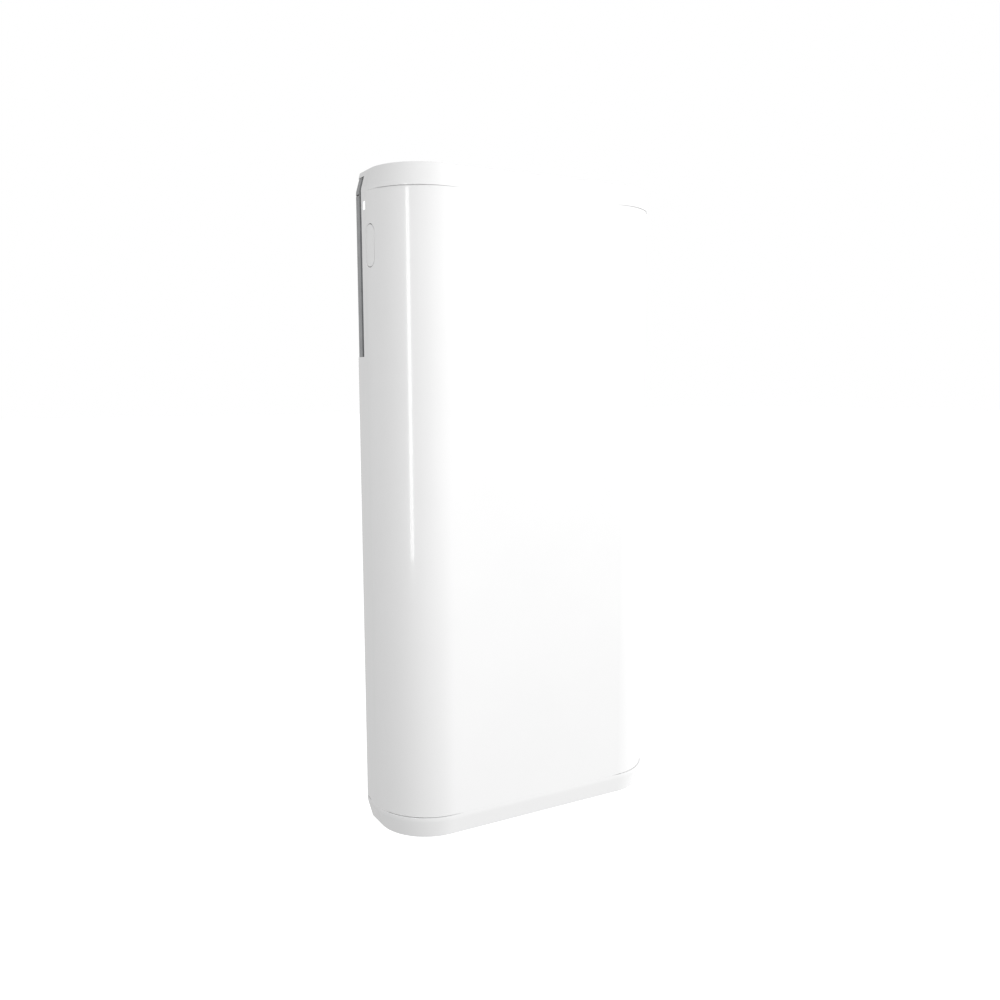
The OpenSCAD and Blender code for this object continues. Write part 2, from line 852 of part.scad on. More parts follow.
module comms_board() {
    color("darkgreen") {
        block(comms_x, [-comms_half_y, comms_half_y], [device_z, device_z + board_t]);
        // feet in its corners, and the main chip
        for (x = [comms_x[0] + 4, comms_x[1] - 4], side = [-1, 1])
            translate([x, side * (comms_half_y - 4), rail_z]) cylinder(h = device_z - rail_z, r = 3);
        block([118, 130], [-8, 4], [device_z + eps, device_z + 4]);
    }
}

module rj45_sockets() {
    z0 = device_z + board_t;
    color("dimgray")
        for (i = [0 : 2]) translate([socket_x0 + i * socket_pitch, 0, 0]) difference() {
            block([0, socket_w], socket_y, [z0, z0 + socket_h]);
            block([socket_wall, socket_w - socket_wall], [socket_y[0] + 2.5, socket_y[1] - 3],
                  [z0 + 6, z0 + socket_h + eps]);
        }
}

module earth_stud() {
    color("goldenrod") translate([earth_spot[0], earth_spot[1], shelf_z]) {
        translate([0, 0, -4]) cylinder(h = 4, r = 5, $fn = 6);
        cylinder(h = 24, r = 2.9);
    }
}

module earth_nuts() {
    color("goldenrod") translate([earth_spot[0], earth_spot[1], rail_z])
        for (z = [0, 9]) translate([0, 0, z]) difference() {
            union() {
                cylinder(h = 1.5, r = 6);
                translate([0, 0, 1.5]) cylinder(h = 5, r = 5.5, $fn = 6);
            }
            translate([0, 0, -eps]) cylinder(h = 10, r = 2.9);
        }
}

// ---------------------------------------------------------------- button and light

module power_button() {
    flange_x0 = side_x + flange_in;
    color("white") {
        intersection() {
            plan(0, unit_h) body_plan(0);
            along_x(side_x - eps, flange_x0 + eps)
                translate([button_y, button_z]) pill(button_w, button_h, 0);
        }
        along_x(flange_x0, flange_x0 + button_flange)
            translate([button_y, button_z]) pill(button_w, button_h, button_flange);
        translate([flange_x0 + button_flange - eps, button_y, button_z])
            rotate([0, 90, 0]) cylinder(h = button_stem + eps, r = 3);
    }
}

// Frame behind the housing that the button slides in and the switch board is fixed to
module button_guide() {
    color("gainsboro") {
        intersection() {
            plan(0, unit_h) body_plan(wall_t + run_gap);
            along_x(side_x, side_x + 16) translate([button_y, button_z]) difference() {
                pill(button_w, button_h, button_flange + clearance + guide_t);
                pill(button_w, button_h, button_flange + clearance);
            }
        }
        for (side = [-1, 1]) translate([side_x + 14, button_y, button_z + side * (button_h / 2 + 5)])
            rotate([0, 90, 0]) cylinder(h = board_x - side_x - 14, r = 3);
    }
}

module switch_board() {
    color("darkgreen")
        block([board_x, board_x + board_t], board_y,
              [button_z - button_h / 2 - 9, light_z + light_h / 2 + 2]);
}

module tactile_switch() {
    color("black") translate([board_x - switch_t, button_y, button_z]) difference() {
        translate([0, -6, -6]) cube([switch_t, 12, 12]);
        translate([-eps, 0, 0]) rotate([0, 90, 0]) cylinder(h = 3.5 + eps, r = 2 + run_gap);
    }
}

module switch_plunger() {
    color("tomato") translate([plunger_x, button_y, button_z])
        rotate([0, 90, 0]) cylinder(h = plunger_l, r = 2);
}

module status_led() {
    color("lemonchiffon")
        block([board_x - 1.5, board_x], [light_y - 2.5, light_y + 2.5], [light_z - 2.5, light_z + 2.5]);
}

module status_light_lens() {
    color("white") intersection() {
        plan(0, unit_h) body_plan(0);
        union() {
            along_x(side_x - eps, side_x + 6) translate([light_y, light_z])
                square([light_w, light_h], center = true);
            along_x(side_x + wall_t + 0.4, side_x + 6) translate([light_y, light_z])
                square([light_w + 3, light_h + 3], center = true);
            along_x(side_x + 5, board_x - 2) translate([light_y, light_z])
                square([6, 6], center = true);
        }
    }
}

// ---------------------------------------------------------------- battery modules

module each_cell(z0) {
    for (side = [-1, 1], row = [0 : cell_rows - 1])
        translate([side * cell_x, 0, z0 + end_plate_t + row * cell_pitch]) children();
}

module cells(z0) {
    color("steelblue") each_cell(z0)
        block([-cell_l / 2, cell_l / 2], [cell_front_y, cell_back_y - 0.2], [0, cell_t]);
}

module lower_cells() { cells(module_zs[0]); }
module upper_cells() { cells(module_zs[1]); }

module cell_terminals() {
    color("silver")
        for (z0 = module_zs) each_cell(z0)
            for (side = [-1, 1])
                translate([side * terminal_dx, 0, cell_t / 2])
                    block([-8, 8], [cell_front_y - terminal_h, cell_front_y], [-8, 8]);
}

module cell_spacers() {
    color("ivory")
        for (z0 = module_zs, side = [-1, 1], row = [0 : cell_rows - 2])
            translate([side * cell_x, 0, z0 + end_plate_t + row * cell_pitch + cell_t])
                block([-cell_l / 2, cell_l / 2], [cell_front_y + 1, cell_back_y - 1],
                      [run_gap, cell_gap_z - run_gap]);
}

module module_end_plates() {
    half = cell_x + cell_l / 2;
    color("silver")
        for (z0 = module_zs, z = [z0, z0 + module_h - end_plate_t])
            block([-half, half], [cell_front_y + 4, cell_back_y - 0.2], [z, z + end_plate_t - 0.1]);
}

module compression_straps() {
    half = cell_x + cell_l / 2;
    color("gray")
        for (z0 = module_zs, side = [-1, 1], y = [-35, 20])
            mirror([side < 0 ? 1 : 0, 0, 0]) {
                block([half + 0.2, half + 1.4], [y, y + 20], [z0 - 1.4, z0 + module_h + 1.4]);
                block([half - 20, half + 1.4], [y, y + 20], [z0 - 1.4, z0 - 0.2]);
                block([half - 20, half + 1.4], [y, y + 20], [z0 + module_h + 0.2, z0 + module_h + 1.4]);
            }
}

module module_trays() {
    half = cell_x + cell_l / 2 + 4;
    color("silver") difference() {
        for (z0 = module_zs) {
            z = [z0 - tray_lip, z0 + module_h + tray_lip];
            block([-half, half], [cell_back_y, chassis_in], z);
            for (side = [-1, 1]) mirror([side < 0 ? 1 : 0, 0, 0])
                block([half - sheet_t, half], [cell_back_y - 12, chassis_in], z);
        }
        tray_pins(tray_screw_r + run_gap, cell_back_y - eps, chassis_in + eps);
    }
}

// Height of a row's terminals above a module's foot
function row_z(row) = end_plate_t + row * cell_pitch + cell_t / 2;

// A busbar over two terminals in the same column
module upright_busbar(x, za, zb) {
    y1 = cell_front_y - terminal_h;
    block([x - busbar_w / 2, x + busbar_w / 2], [y1 - busbar_t, y1], [za - 9, zb + 9]);
}

module cell_busbars() {
    inner = cell_x - terminal_dx;
    outer = cell_x + terminal_dx;
    last = cell_rows - 1;
    y1 = cell_front_y - terminal_h;
    color("silver") {
        for (z0 = module_zs, side = [-1, 1]) {
            for (row = [0 : 2 : cell_rows - 2])
                upright_busbar(side * outer, z0 + row_z(row), z0 + row_z(row + 1));
            for (row = [1 : 2 : cell_rows - 2])
                upright_busbar(side * inner, z0 + row_z(row), z0 + row_z(row + 1));
        }
        // link between the columns: at the foot of the lower module, at the head of the upper one
        for (z = [module_zs[0] + row_z(0), module_zs[1] + row_z(last)])
            block([-inner - 9, inner + 9], [y1 - busbar_t, y1], [z - 9, z + 9]);
        // link between the modules
        upright_busbar(inner, module_zs[0] + row_z(last), module_zs[1] + row_z(0));
    }
}

module module_covers() {
    half = cell_x + cell_l / 2;
    link_x = cell_x - terminal_dx;
    color("whitesmoke")
        for (z0 = module_zs) {
            block([-half, half], [cover_y, cover_y + cover_t], [z0, z0 + module_h]);
            // lips above and below, open at the terminals for the link and the cables
            for (z = [z0, z0 + module_h - cover_t])
                for (x = [[-half, -link_x - 14], [-link_x + 14, link_x - 14], [link_x + 14, half]])
                    block(x, [cover_y, cell_front_y - 0.2], [z, z + cover_t]);
        }
}

module sense_boards() {
    y1 = cell_front_y - 0.2;
    color("darkgreen")
        for (z0 = module_zs, side = [-1, 1])
            block([side * cell_x - 20, side * cell_x + 20], [y1 - board_t, y1],
                  [z0 + end_plate_t + 4, z0 + module_h - end_plate_t - 4]);
}

// A pin of radius r through each of the trays' fixing holes
module tray_pins(r, y0, y1) {
    for (z0 = module_zs, x = [-120, 0, 120], z = [z0 - 2.5, z0 + module_h + 2.5])
        rod_y(x, z, r, y0, y1);
}

module module_screws() {
    color("silver") {
        tray_pins(tray_screw_r, cell_back_y - 1, chassis_y + 1);
        tray_pins(2.4, cell_back_y - 1.6, cell_back_y);
    }
}

// ---------------------------------------------------------------- inverter and switchgear

module inverter_board() {
    half = sink_w / 2 - 5;
    color("darkgreen")
        block([-half, half], [inverter_y - board_t, inverter_y], [sink_z0 + 5, sink_z1 - 5]);
}

module board_standoffs() {
    color("goldenrod") {
        for (x = [-sink_w / 2 + 12, sink_w / 2 - 12], z = [sink_z0 + 12, sink_z1 - 12])
            rod_y(x, z, 3.5, inverter_y, sink_y);
        for (x = [-150, 110], z = [bms_z0 + 8, bms_z1 - 8])
            rod_y(x, z, 3.5, inverter_y, chassis_in);
    }
}

module power_modules() {
    color("black")
        for (x = [-105, -35, 35, 105])
            block([x - 24, x + 24], [inverter_y + 0.5, sink_y], [sink_z0 + 40, sink_z0 + 80]);
}

module dc_capacitors() {
    front = inverter_y - board_t;
    pitch = 38;
    color("midnightblue")
        for (i = [-3 : 3], row = [0, 1])
            rod_y(i * pitch, sink_z0 + 45 + row * pitch, 16, front - 45, front);
}

module inductors() {
    color("darkorange")
        for (x = [-95, 0, 95])
            translate([x, inverter_y - board_t, sink_z0 + 160]) rotate([90, 0, 0]) difference() {
                cylinder(h = 32, r = 34);
                translate([0, 0, -eps]) cylinder(h = 40, r = 13);
            }
}

module bms_board() {
    front = inverter_y - board_t;
    color("darkgreen") {
        block([-158, 118], [front, inverter_y], [bms_z0, bms_z1]);
        // chips, and the row of sense connectors
        for (x = [-120 : 40 : 80])
            block([x - 9, x + 9], [front - 3, front + 0.5], [bms_z0 + 35, bms_z0 + 53]);
        block([-150, 100], [front - 9, front + 0.5], [bms_z1 - 14, bms_z1 - 6]);
    }
}

module main_contactor() {
    color("dimgray") {
        block([contactor_x - 28, contactor_x + 28], [-10, chassis_in], [contactor_z0, contactor_z0 + 74]);
        for (dx = [-15, 15])
            rod_y(contactor_x + dx, contactor_z0 + 37, 6, -20, -9);
    }
}

module fuse_holder() {
    color("black") {
        block([fuse_x - 18, fuse_x + 18], [30, 40], [fuse_z0, fuse_z0 + 110]);
        for (z = [fuse_z0, fuse_z0 + 90])
            block([fuse_x - 14, fuse_x + 14], [10, 31], [z, z + 20]);
    }
}

module main_fuse() {
    color("ivory")
        translate([fuse_x, 18, fuse_z0 + 20.2]) cylinder(h = 69.6, r = 11);
}

module negative_cables() {
    color("black") {
        tube(negative_route_low, cable_r, cable_bend);
        tube(negative_route_high, cable_r, cable_bend);
    }
}

module positive_cables() {
    color("firebrick") {
        tube(positive_route_low, cable_r, 9);
        tube(positive_route_high, cable_r, 9);
    }
}

// ---------------------------------------------------------------- assembly

wall_bracket();
rear_chassis();
hanger_rail();
wall_buffers();
heat_sink();
housing_shell();
shell_screws();
seal_frames();
gaskets();
base_plate();
bottom_cap();
bottom_cap_screws();
cable_entry_trim();
cable_channel();
cable_glands();
gland_locknuts();
gland_plugs();
bay_shelf();
shelf_grommets();
cap_posts();
din_rail();
dc_breaker();
terminal_blocks();
comms_board();
rj45_sockets();
earth_stud();
earth_nuts();
button_guide();
switch_board();
tactile_switch();
status_led();
status_light_lens();
module_trays();
lower_cells();
upper_cells();
cell_terminals();
cell_spacers();
module_end_plates();
compression_straps();
cell_busbars();
module_covers();
sense_boards();
module_screws();
inverter_board();
board_standoffs();
power_modules();
dc_capacitors();
inductors();
bms_board();
main_contactor();
main_fuse();
fuse_holder();
positive_cables();
negative_cables();
top_cap();
cap_entry_trim();
cap_screws();
power_button();
switch_plunger();
breaker_toggle();
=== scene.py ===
"""Looks of the wall battery unit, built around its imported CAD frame.

The visible skins (housing, caps, cable entry strip, button, light) are new meshes that stand for their CAD
nodes. Everything else keeps its CAD shape and gets a procedural material. Lengths of the object are in
millimetres; those of the camera, the lights and the floor are in metres.
"""

import json
import math

import bmesh
import bpy
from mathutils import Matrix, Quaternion, Vector
from mathutils.geometry import delaunay_2d_cdt


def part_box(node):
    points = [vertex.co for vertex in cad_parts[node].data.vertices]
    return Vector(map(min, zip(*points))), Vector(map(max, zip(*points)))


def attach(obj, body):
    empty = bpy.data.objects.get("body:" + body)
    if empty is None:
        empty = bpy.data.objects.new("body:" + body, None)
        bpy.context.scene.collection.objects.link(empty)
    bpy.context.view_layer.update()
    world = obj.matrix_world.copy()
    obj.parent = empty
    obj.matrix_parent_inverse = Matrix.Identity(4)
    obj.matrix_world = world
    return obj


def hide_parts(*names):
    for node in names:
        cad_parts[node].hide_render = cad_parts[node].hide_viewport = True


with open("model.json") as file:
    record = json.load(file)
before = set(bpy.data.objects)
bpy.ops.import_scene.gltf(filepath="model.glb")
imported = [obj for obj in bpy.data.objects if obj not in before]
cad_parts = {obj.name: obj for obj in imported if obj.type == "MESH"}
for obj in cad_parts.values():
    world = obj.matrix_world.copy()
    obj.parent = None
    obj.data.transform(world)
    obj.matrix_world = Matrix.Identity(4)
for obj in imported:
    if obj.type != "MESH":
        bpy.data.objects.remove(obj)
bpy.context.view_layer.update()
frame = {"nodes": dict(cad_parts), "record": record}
MM = 0.001

# Tolerances: points that coincide, points that a triangulation joins, and points on the border of a filter
TINY = 1e-6
JOINED = 1e-5
SLACK = 0.01


def mm_box(node):
    """Lowest and highest corner of a CAD node, in millimetres."""
    low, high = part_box(node)
    return low / MM, high / MM


# ---------------------------------------------------------------- main dimensions

SHELL_LOW, SHELL_HIGH = mm_box("housing_shell")
TOP_LOW, TOP_HIGH = mm_box("top_cap")
WIDTH = SHELL_HIGH.x - SHELL_LOW.x
DEPTH = SHELL_HIGH.y - SHELL_LOW.y
HALF_W = WIDTH / 2
HALF_D = DEPTH / 2
UNIT_H = TOP_HIGH.z
SEAM_TOP = TOP_LOW.z
CAP_H = UNIT_H - SEAM_TOP
SEAM_LOW = CAP_H

# Radii of the plan outline, and thickness of the sheet and of the moulded caps
FRONT_R = 93.0
REAR_R = 18.0
CAP_FRONT_R = 88.0
WALL = 2.0
CAP_WALL = 2.5

# Half widths of the opening in the housing's back and of the air recess in the caps, and the recess's floor
REAR_OPENING = 205.0
RECESS_HALF = 185.0
RECESS_Y = 58.0

# Side of a cap from its seam up: an upright lip, a bend, a slope of CAP_DRAFT degrees and a rounded edge
CAP_LIP = 2.4
CAP_BEND_R = 20.0
CAP_DRAFT = 15.0
CAP_EDGE_R = 0.9

# Seams: how far they open in the front corners, how far past a corner that fades out, and how much wider
# they open in the rear corners
LOW_GAP = 0.55
TOP_GAP = 0.25
CORNER_FADE = 14.0
REAR_FADE = 15.0
REAR_WEIGHT = 2.8
SEAM_EDGE_R = 0.3

# Shares of a front corner's turn: where its seam starts to open, and how long that takes
OPENING_FROM = 0.18
OPENING_TAKES = 0.07

# Cable entry strip: a groove, then a skin ENTRY_STEP below the housing's, with a break at the top seam that
# is STRIP_GAP high below it and STRIP_CAP_GAP above it
ENTRY_Y = HALF_D - 38.0
ENTRY_X = -REAR_OPENING
ENTRY_Z = SEAM_TOP - 238.0
ENTRY_CAP_H = 25.0
GROOVE_W = 10.0
GROOVE_D = 8.0
ENTRY_STEP = 1.2
ENTRY_SHEET = 2.0
STRIP_GAP = 1.2
STRIP_CAP_GAP = 0.7 * STRIP_GAP

# What the strip stays clear of: the side's cut edge, the cut's lower and upper end, and the top seam
STRIP_SIDE_GAP = 0.15
STRIP_LOW_GAP = 0.3
STRIP_HIGH_GAP = 0.2
STRIP_SEAM_GAP = 0.1

# Button and status light, placed by their CAD nodes
BUTTON_LOW, BUTTON_HIGH = mm_box("power_button")
BUTTON_W = 21.0
BUTTON_H = 60.5
BUTTON_Y = (BUTTON_LOW.y + BUTTON_HIGH.y) / 2
BUTTON_Z = (BUTTON_LOW.z + BUTTON_HIGH.z) / 2
BUTTON_GAP = 0.8
BUTTON_EDGE_R = 0.8
BUTTON_BACK = 7.0
LIGHT_LOW, LIGHT_HIGH = mm_box("status_light_lens")
LIGHT_W = 8.0
LIGHT_H = 12.0
LIGHT_Y = (LIGHT_LOW.y + LIGHT_HIGH.y) / 2
LIGHT_Z = (LIGHT_LOW.z + LIGHT_HIGH.z) / 2
LIGHT_GAP = 0.12
LIGHT_CORNER = 0.8
LIGHT_EDGE_R = 0.25
LIGHT_BACK = 6.0

# Rings of points over a rounded edge, as shares of its radius
BUTTON_RINGS = (0, 0.13, 0.5, 1)
LIGHT_RINGS = (0, 0.3, 1)


# ---------------------------------------------------------------- outlines

def line_nodes(start, end, normal, stops):
    """Nodes of a straight stretch: its start, then each stop (a point on it), in order."""
    points = sorted([start, *stops], key=lambda p: math.dist(start, p))
    return [(p, normal, 0.0) for p in points if math.dist(p, end) > TINY]


def arc_nodes(centre, radius, start_deg, steps, wide_end):
    """Nodes of a quarter turn, with a weight that is 1 in the corner and fades to 0 where it ends,
    except at wide_end ("start" or "end"), where it stays 1."""
    found = []
    for i in range(steps):
        share = i / steps
        angle = math.radians(start_deg + 90 * share)
        normal = (math.cos(angle), math.sin(angle))
        point = (centre[0] + radius * normal[0], centre[1] + radius * normal[1])
        from_start = 1.0 if wide_end == "start" else smooth((share - OPENING_FROM) / OPENING_TAKES)
        from_end = 1.0 if wide_end == "end" else smooth((1 - OPENING_FROM - share) / OPENING_TAKES)
        found.append((point, normal, min(from_start, from_end)))
    return found


def smooth(share):
    """Eases from 0 to 1 as share does, and stays there beyond."""
    share = min(1.0, max(0.0, share))
    return share * share * (3 - 2 * share)


def outline_nodes(front_r, rear_r=REAR_R, rear_stops=(), left_stops=(), steps=(48, 14)):
    """(point, normal, corner weight) round the plan outline, from the middle of the wall side to the left,
    round the front and back. rear_stops are distances from the middle, left_stops are values of y.
    The weight is the opening of the seams: 1 in the front corners, REAR_WEIGHT in the rear ones."""
    front_steps, rear_steps = steps
    w, d = HALF_W, HALF_D
    left = [(-w, y) for y in left_stops]
    stops = lambda sign: [(sign * x, d) for x in rear_stops]
    faded = w - FRONT_R - CORNER_FADE
    rear_arc = lambda sign, start_deg, wide_end: [
        (point, normal, weight * REAR_WEIGHT)
        for point, normal, weight in arc_nodes((sign * (w - rear_r), d - rear_r), rear_r, start_deg,
                                               rear_steps, wide_end)
    ]
    return [
        *line_nodes((0, d), (-w + rear_r, d), (0, 1), stops(-1)),
        *rear_arc(-1, 90, "end"),
        ((-w, d - rear_r), (-1, 0), REAR_WEIGHT),
        *line_nodes((-w, d - rear_r - REAR_FADE), (-w, -d + front_r), (-1, 0), left),
        *arc_nodes((-w + front_r, -d + front_r), front_r, 180, front_steps, "end"),
        ((-w + front_r, -d), (0, -1), 1.0),
        *line_nodes((-faded, -d), (w - front_r, -d), (0, -1), [(faded, -d)]),
        *arc_nodes((w - front_r, -d + front_r), front_r, 270, front_steps, "start"),
        *line_nodes((w, -d + front_r), (w, d - rear_r), (1, 0), [(w, d - rear_r - REAR_FADE)]),
        *rear_arc(1, 0, "start"),
        *line_nodes((w - rear_r, d), (0, d), (0, 1), stops(1)),
    ]


def inset(node, depth):
    """The node's point, moved inwards by depth."""
    (x, y), (nx, ny), _ = node
    return x - depth * nx, y - depth * ny


def left_x(y, depth=0.0):
    """x of the housing's left side at y, at a depth below its skin."""
    centre_y = -HALF_D + FRONT_R
    if y >= centre_y:
        return -HALF_W + depth
    radius = FRONT_R - depth
    return -HALF_W + FRONT_R - math.sqrt(radius ** 2 - (centre_y - y) ** 2)


def rounding(distance, radius):
    """How far a rounded edge has dropped at a distance from it."""
    if distance >= radius:
        return 0.0
    return radius - math.sqrt(radius ** 2 - (radius - distance) ** 2)


# ---------------------------------------------------------------- mesh building

class Skin:
    """A sheet of vertices that each have an outer and an inner place, closed along its open edges."""

    def __init__(self):
        self.outer = []
        self.inner = []
        self.faces = []
        self.known = {}

    def vertex(self, outer, inner):
        key = tuple(round(v, 3) for v in outer)
        if key not in self.known:
            self.known[key] = len(self.outer)
            self.outer.append(outer)
            self.inner.append(inner)
        return self.known[key]

    def face(self, *corners):
        loop = [c for i, c in enumerate(corners) if c != corners[i - 1]]
        if len(loop) > 2:
            self.faces.append(tuple(loop))

    def build(self, name):
        count = len(self.outer)
        directed = {}
        for loop in self.faces:
            for a, b in zip(loop, loop[1:] + loop[:1]):
                directed[(a, b)] = True
        walls = [(b, a, a + count, b + count) for a, b in directed if (b, a) not in directed]
        backs = [tuple(c + count for c in reversed(loop)) for loop in self.faces]
        return mesh_object(name, self.outer + self.inner, [*self.faces, *backs, *walls])


def mesh_object(name, points, faces, smooth_deg=32.0):
    """A smooth-shaded object from points in millimetres, with edges sharper than smooth_deg kept sharp."""
    data = bpy.data.meshes.new(name)
    data.from_pydata([Vector(p) * MM for p in points], [], faces)
    work = bmesh.new()
    work.from_mesh(data)
    bmesh.ops.remove_doubles(work, verts=work.verts, dist=0.002 * MM)
    bmesh.ops.recalc_face_normals(work, faces=work.faces)
    work.to_mesh(data)
    work.free()
    data.polygons.foreach_set("use_smooth", [True] * len(data.polygons))
    data.set_sharp_from_angle(angle=math.radians(smooth_deg))
    found = bpy.data.objects.new(name, data)
    bpy.context.scene.collection.objects.link(found)
    weighted = found.modifiers.new("even_shading", "WEIGHTED_NORMAL")
    weighted.keep_sharp = True
    weighted.weight = 80
    return found


def triangulated(loops, lines, keep):
    """Triangles of the plane between closed loops and open lines, kept where keep(x, y) says so."""
    points, edges = [], []
    for loop in loops:
        first = len(points)
        points += [Vector(p) for p in loop]
        edges += [(first + i, first + (i + 1) % len(loop)) for i in range(len(loop))]
    for start, end in lines:
        edges.append((len(points), len(points) + 1))
        points += [Vector(start), Vector(end)]
    found, _, faces, *_ = delaunay_2d_cdt(points, edges, [], 0, JOINED)
    kept = []
    for face in faces:
        middle = sum((found[i] for i in face), Vector((0, 0))) / len(face)
        if keep(middle.x, middle.y):
            kept.append(face)
    return found, kept


def pill_distance(y, z, width, height):
    """Distance from the edge of a pill centred on the origin, negative inside."""
    return math.hypot(y, max(abs(z) - (height - width) / 2, 0)) - width / 2


def pill_loop(grow, steps=26):
    """Points round the button's outline, grown by grow."""
    radius = BUTTON_W / 2 + grow
    straight = (BUTTON_H - BUTTON_W) / 2
    loop = []
    for side, start in ((1, 0), (-1, 180)):
        for i in range(steps + 1):
            a = math.radians(start + 180 * i / steps)
            loop.append((BUTTON_Y + radius * math.cos(a), BUTTON_Z + side * straight + radius * math.sin(a)))
    return loop


def panel_distance(y, z, width, height, corner):
    """Distance from the edge of a rectangle with round corners, negative inside."""
    dy = abs(y) - width / 2 + corner
    dz = abs(z) - height / 2 + corner
    return math.hypot(max(dy, 0), max(dz, 0)) + min(max(dy, dz), 0) - corner


def panel_loop(grow, steps=5):
    """Points round the light's outline, grown by grow."""
    least_corner = 0.05
    corner = max(LIGHT_CORNER + grow, least_corner)
    loop = []
    for quarter, (sy, sz) in enumerate(((1, 1), (-1, 1), (-1, -1), (1, -1))):
        for i in range(steps + 1):
            a = math.radians(90 * quarter + 90 * i / steps)
            loop.append((
                LIGHT_Y + sy * (LIGHT_W / 2 + grow - corner) + corner * math.cos(a),
                LIGHT_Z + sz * (LIGHT_H / 2 + grow - corner) + corner * math.sin(a),
            ))
    return loop


# ---------------------------------------------------------------- housing

def housing_skin():
    """The tall housing: open at the wall, with the cable entry cut out and holes for button and light."""
    behind, before, below, above = 1.0, 3.0, 5.0, 4.0  # margins of the patch that holds both holes
    patch_rear, patch_front = ENTRY_Y - behind, BUTTON_Y - BUTTON_W / 2 - before
    patch_low, patch_high = BUTTON_Z - BUTTON_H / 2 - below, LIGHT_Z + LIGHT_H / 2 + above
    nodes = outline_nodes(FRONT_R, rear_stops=[REAR_OPENING], left_stops=[ENTRY_Y, patch_rear])
    inside = [i for i, n in enumerate(nodes) if abs(n[0][0]) >= REAR_OPENING - SLACK or n[0][1] <= 0]
    nodes = nodes[inside[0]:inside[-1] + 1]
    entry_to = next(i for i, n in enumerate(nodes) if abs(n[0][1] - ENTRY_Y) < TINY and n[0][0] < 0)
    patch_from = entry_to + 1
    patch_to = next(i for i, n in enumerate(nodes) if n[0][1] < patch_front)

    # (distance from the seam, how far the rounded edge has dropped), then a row that keeps the side flat
    edge = [(0.0, SEAM_EDGE_R), (0.12, 0.13), (0.5, 0.0), (1.6, 0.0)]
    rows = [("low", offset, drop) for offset, drop in edge]
    rows += [("at", ENTRY_Z, 0.0), ("at", patch_low, 0.0), ("at", patch_high, 0.0)]
    rows += [("high", offset, drop) for offset, drop in reversed(edge)]

    def softened(length, weight):
        """An edge's length where the seam has this weight: a tenth of it where the seam is closed."""
        return length * (0.1 + 0.9 * weight)

    def row_z(row, weight):
        kind, value, _ = row
        if kind == "low":
            return SEAM_LOW + LOW_GAP * weight + softened(value, weight)
        if kind == "high":
            return SEAM_TOP - TOP_GAP * weight - softened(value, weight)
        return value

    skin = Skin()
    grid = []
    for node in nodes:
        column = []
        for row in rows:
            z = row_z(row, node[2])
            drop = softened(row[2], node[2])
            column.append(skin.vertex((*inset(node, drop), z), (*inset(node, WALL), z)))
        grid.append(column)
    entry_row = next(i for i, row in enumerate(rows) if row[1] == ENTRY_Z)
    for i in range(len(nodes) - 1):
        for j in range(len(rows) - 1):
            in_entry = i < entry_to and j >= entry_row
            in_patch = patch_from <= i < patch_to and rows[j][1] == patch_low
            if not in_entry and not in_patch:
                skin.face(grid[i][j], grid[i + 1][j], grid[i + 1][j + 1], grid[i][j + 1])

    def hole_distance(y, z):
        button = pill_distance(y - BUTTON_Y, z - BUTTON_Z, BUTTON_W, BUTTON_H) - BUTTON_GAP
        light = panel_distance(y - LIGHT_Y, z - LIGHT_Z, LIGHT_W, LIGHT_H, LIGHT_CORNER) - LIGHT_GAP
        return button, light

    columns = [nodes[i][0][1] for i in range(patch_from, patch_to + 1)]
    border = [(y, patch_low) for y in columns] + [(y, patch_high) for y in reversed(columns)]
    rings = [pill_loop(BUTTON_GAP + BUTTON_EDGE_R * share) for share in BUTTON_RINGS]
    rings += [panel_loop(LIGHT_GAP + LIGHT_EDGE_R * share) for share in LIGHT_RINGS]
    lines = [((y, patch_low), (y, patch_high)) for y in columns[1:-1]]
    points, faces = triangulated([border, *rings], lines, lambda y, z: min(hole_distance(y, z)) > 0)
    used = {}
    for i in {i for face in faces for i in face}:
        y, z = points[i]
        button, light = hole_distance(y, z)
        drop = rounding(max(button, 0), BUTTON_EDGE_R) + rounding(max(light, 0), LIGHT_EDGE_R)
        used[i] = skin.vertex((left_x(y) + drop, y, z), (left_x(y, WALL), y, z))
    for face in faces:
        skin.face(*[used[i] for i in reversed(face)])
    return skin.build("housing_skin")


# ---------------------------------------------------------------- caps

def cap_profile():
    """(height above the seam, inward shift) up a cap's side and over the edge of its end."""
    draft = math.radians(CAP_DRAFT)
    bend_steps, edge_steps = 12, 5
    support = 1.0  # distance below the edge of a row that keeps the slope flat
    middle = 0.3 * SEAM_EDGE_R
    rows = [(0.0, SEAM_EDGE_R), (middle, middle), (SEAM_EDGE_R, 0.0), (CAP_LIP / 2, 0.0), (CAP_LIP, 0.0)]
    for step in range(1, bend_steps + 1):
        a = draft * step / bend_steps
        rows.append((CAP_LIP + CAP_BEND_R * math.sin(a), CAP_BEND_R * (1 - math.cos(a))))
    bend_z, bend_x = rows[-1]
    reach = CAP_EDGE_R * math.tan((math.pi / 2 - draft) / 2)
    slope_end = CAP_H - reach * math.cos(draft)
    rows.append((ENTRY_CAP_H, bend_x + (ENTRY_CAP_H - bend_z) * math.tan(draft)))
    rows.append((slope_end - support, bend_x + (slope_end - support - bend_z) * math.tan(draft)))
    end_x = bend_x + (slope_end - bend_z) * math.tan(draft)
    centre_x = end_x + CAP_EDGE_R * math.cos(draft)
    centre_z = slope_end - CAP_EDGE_R * math.sin(draft)
    for step in range(edge_steps + 1):
        a = draft + (math.pi / 2 - draft) * step / edge_steps
        rows.append((centre_z + CAP_EDGE_R * math.sin(a), centre_x - CAP_EDGE_R * math.cos(a)))
    return rows


